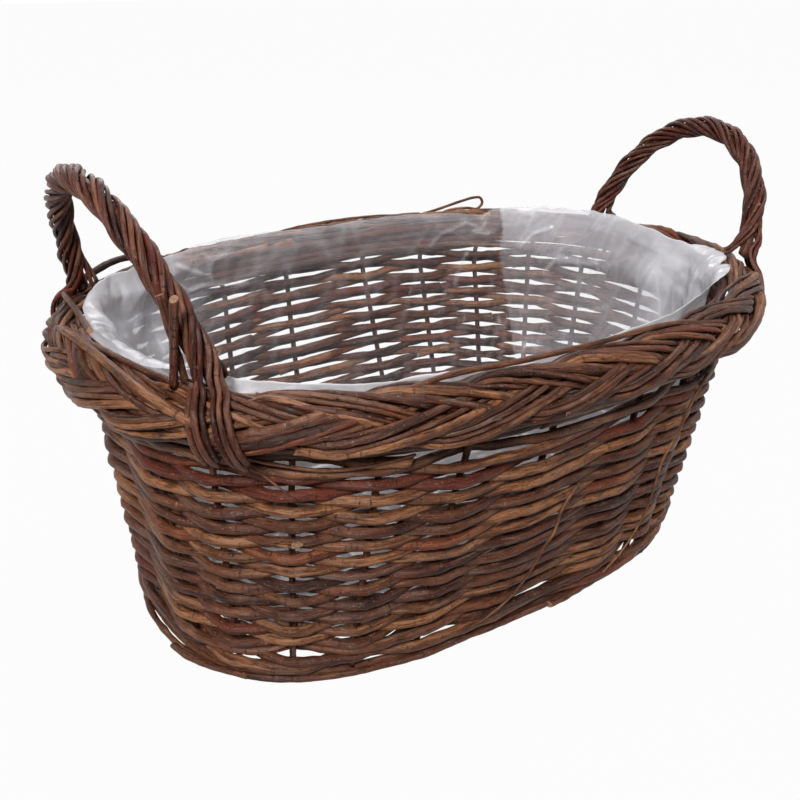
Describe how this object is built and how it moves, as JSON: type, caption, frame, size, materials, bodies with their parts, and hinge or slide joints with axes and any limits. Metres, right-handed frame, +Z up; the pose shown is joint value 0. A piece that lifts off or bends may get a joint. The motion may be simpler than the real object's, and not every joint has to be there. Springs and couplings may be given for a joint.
{
  "type": "wicker planter basket",
  "caption": "Oblong woven willow planter basket with a plaited border, roped handles at both ends and a clear film liner.",
  "frame": {"origin": "on the surface the basket stands on, under the middle of its whole length, handles included", "axes": "+Z up, X along the basket's length from one handle to the other, Y across it"},
  "size_m": [0.4316, 0.3052, 0.2556],
  "materials": {
    "brown_willow": "unpeeled bark, satin",
    "red_willow": "unpeeled red-brown bark, satin",
    "film": "thin crumpled polyethylene film, milky"
  },
  "bodies": {
    "root": {"stake_01": "brown_willow", "stake_02": "brown_willow", "stake_03": "brown_willow", "stake_04": "brown_willow", "stake_05": "brown_willow", "stake_06": "brown_willow", "stake_07": "brown_willow", "stake_08": "brown_willow", "stake_09": "brown_willow", "stake_10": "brown_willow", "stake_11": "brown_willow", "stake_12": "brown_willow", "stake_13": "brown_willow", "stake_14": "brown_willow", "stake_15": "brown_willow", "stake_16": "brown_willow", "stake_17": "brown_willow", "stake_18": "brown_willow", "stake_19": "brown_willow", "stake_20": "brown_willow", "stake_21": "brown_willow", "stake_22": "brown_willow", "stake_23": "brown_willow", "foot_hoop": "brown_willow", "bottom_wale": "brown_willow", "top_wale": "brown_willow", "weaver_01": "brown_willow", "weaver_02": "brown_willow", "weaver_03": "brown_willow", "weaver_04": "brown_willow", "weaver_05": "brown_willow", "weaver_06": "brown_willow", "weaver_07": "brown_willow", "weaver_08": "brown_willow", "weaver_09": "brown_willow", "weaver_10": "brown_willow", "weaver_11": "brown_willow", "border_rod_1": "brown_willow", "border_rod_2": "brown_willow", "border_rod_3": "brown_willow", "border_rod_4": "brown_willow", "border_rod_5": "brown_willow", "border_rod_6": "brown_willow", "border_rod_7": "brown_willow", "border_rod_8": "brown_willow", "border_rod_9": "brown_willow", "base_sticks": "brown_willow", "base_weaver_1": "brown_willow", "base_weaver_2": "brown_willow", "handle_left_bow": "red_willow", "handle_right_bow": "red_willow", "handle_left_wrap_1": "red_willow", "handle_left_wrap_2": "red_willow", "handle_left_wrap_3": "red_willow", "handle_right_wrap_1": "red_willow", "handle_right_wrap_2": "red_willow", "handle_right_wrap_3": "red_willow", "handle_left_peg_1": "red_willow", "handle_left_peg_2": "red_willow", "liner": "film"}
  },
  "joints": []
}
